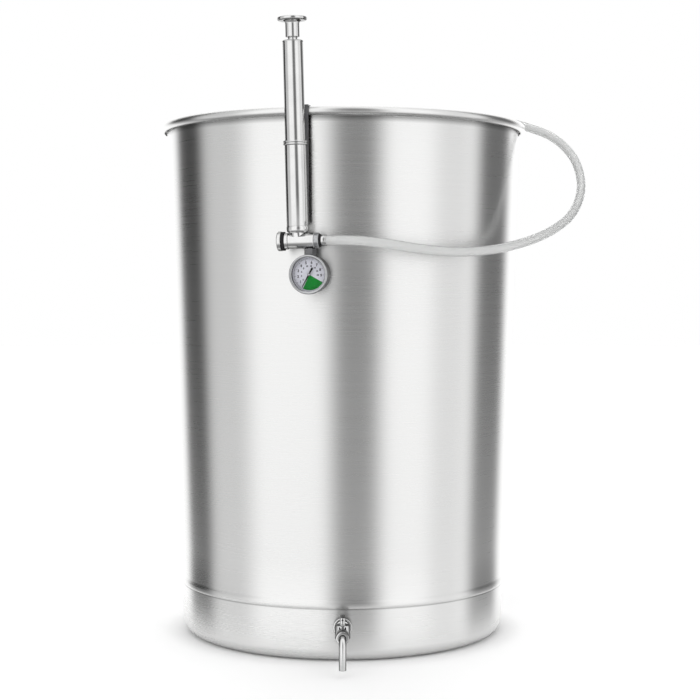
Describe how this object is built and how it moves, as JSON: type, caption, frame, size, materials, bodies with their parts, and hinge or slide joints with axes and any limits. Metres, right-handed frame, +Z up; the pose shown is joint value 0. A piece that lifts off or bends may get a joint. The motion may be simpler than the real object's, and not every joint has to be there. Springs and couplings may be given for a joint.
{
  "type": "variable capacity brewing tank",
  "caption": "Open tapered steel brewing tank with a floating lid, a rim-hooked hand pump, gauge and hose for its inflatable gasket, and a small tap.",
  "frame": {"origin": "centre of the tank's base, on the floor", "axes": "+Z up along the tank, -Y out of the front over the tap, +X to the right seen from the front"},
  "size_m": [0.489, 0.4569, 0.6636],
  "materials": {
    "satin_steel": "satin stainless sheet",
    "polished_steel": "polished stainless",
    "gauge_steel": "brushed stainless case and bezel",
    "gauge_glass": "clear",
    "gauge_dial": "white printed dial",
    "needle_black": "matt black",
    "brass": "plain brass",
    "black_rubber": "black nitrile",
    "gasket_rubber": "white food grade rubber",
    "clear_hose": "clear soft PVC",
    "white_plastic": "white acetal"
  },
  "bodies": {
    "tank": {"barrel_cap": "polished_steel", "barrel_collar": "polished_steel", "barrel_sleeve": "polished_steel", "bleed_washer": "black_rubber", "bourdon_tube": "brass", "check_spring": "polished_steel", "gauge_bezel": "gauge_steel", "gauge_case": "gauge_steel", "gauge_dial": "gauge_dial", "gauge_lens": "gauge_glass", "gauge_movement": "brass", "gauge_stem": "polished_steel", "hose_inner": "clear_hose", "hose_outer": "clear_hose", "knurled_ring": "polished_steel", "manifold": "polished_steel", "pump_barb": "polished_steel", "pump_barrel": "polished_steel", "rim_hook": "polished_steel", "ring_clamp": "polished_steel", "tank_bottom": "satin_steel", "tank_wall": "satin_steel", "tap_body": "polished_steel", "tap_inner_washer": "black_rubber", "tap_lock_nut": "polished_steel", "tap_spout": "polished_steel", "tap_washer": "black_rubber", "union_seal": "black_rubber", "valve_seat": "polished_steel"},
    "plunger": {"plunger_rod": "polished_steel", "knob_neck": "polished_steel", "plunger_knob": "polished_steel", "piston_nut": "polished_steel", "piston_plate": "polished_steel", "piston_cup": "black_rubber", "piston": "polished_steel"},
    "check_ball": {"check_ball": "polished_steel"},
    "bleed_pin": {"bleed_pin": "polished_steel"},
    "bleed_knob": {"bleed_knob": "polished_steel"},
    "gauge_needle": {"gauge_needle": "needle_black"},
    "lid": {"lid_pan": "satin_steel", "lid_channel": "satin_steel", "lid_gasket": "gasket_rubber", "hose_elbow": "polished_steel", "elbow_nut": "polished_steel", "lid_handles": "satin_steel", "vent_washer": "black_rubber", "vent_body": "polished_steel", "vent_nut": "polished_steel", "vent_cap": "polished_steel"},
    "vent_disc": {"vent_disc": "white_plastic"},
    "tap_key": {"tap_plug": "polished_steel", "tap_key": "polished_steel", "plug_nut": "polished_steel"}
  },
  "joints": [
    {"name": "plunger_slide", "type": "slide", "parent": "tank", "child": "plunger", "axis": [-0.025, -0.0254, 0.9994], "range_m": [-0.0025, 0.15]},
    {"name": "check_ball_lift", "type": "slide", "parent": "tank", "child": "check_ball", "axis": [0.025, 0.0254, -0.9994], "range_m": [0, 0.0015], "stiffness_N_per_m": 40, "springref_m": -0.001, "deforming": ["check_spring"]},
    {"name": "bleed_turn", "type": "hinge", "parent": "bleed_pin", "child": "bleed_knob", "pos_m": [-0.06125, -0.20882, 0.43768], "axis": [-0.9778, 0.2084, -0.0192], "range_deg": [0, 720]},
    {"name": "bleed_travel", "type": "slide", "parent": "tank", "child": "bleed_pin", "axis": [-0.9778, 0.2084, -0.0192], "range_m": [0, 0.002]},
    {"name": "needle_swing", "type": "hinge", "parent": "tank", "child": "gauge_needle", "pos_m": [-0.03204, -0.214, 0.40426], "axis": [0.2078, 0.9777, 0.0301], "range_deg": [0, 270], "stiffness_Nm_per_rad": 0.0002},
    {"name": "lid_slide", "type": "slide", "parent": "tank", "child": "lid", "axis": [0, 0, 1], "range_m": [0, 0.56], "deforming": ["hose_inner"]},
    {"name": "vent_disc_lift", "type": "slide", "parent": "lid", "child": "vent_disc", "axis": [0, 0, 1], "range_m": [0, 0.004]},
    {"name": "tap_turn", "type": "hinge", "parent": "tank", "child": "tap_key", "pos_m": [0, -0.20624, 0.038], "axis": [0, 0, 1], "range_deg": [0, 90]}
  ],
  "couplings": [
    {"joint": "bleed_turn", "follows": "bleed_travel", "rad_per_m": 6283.2}
  ]
}
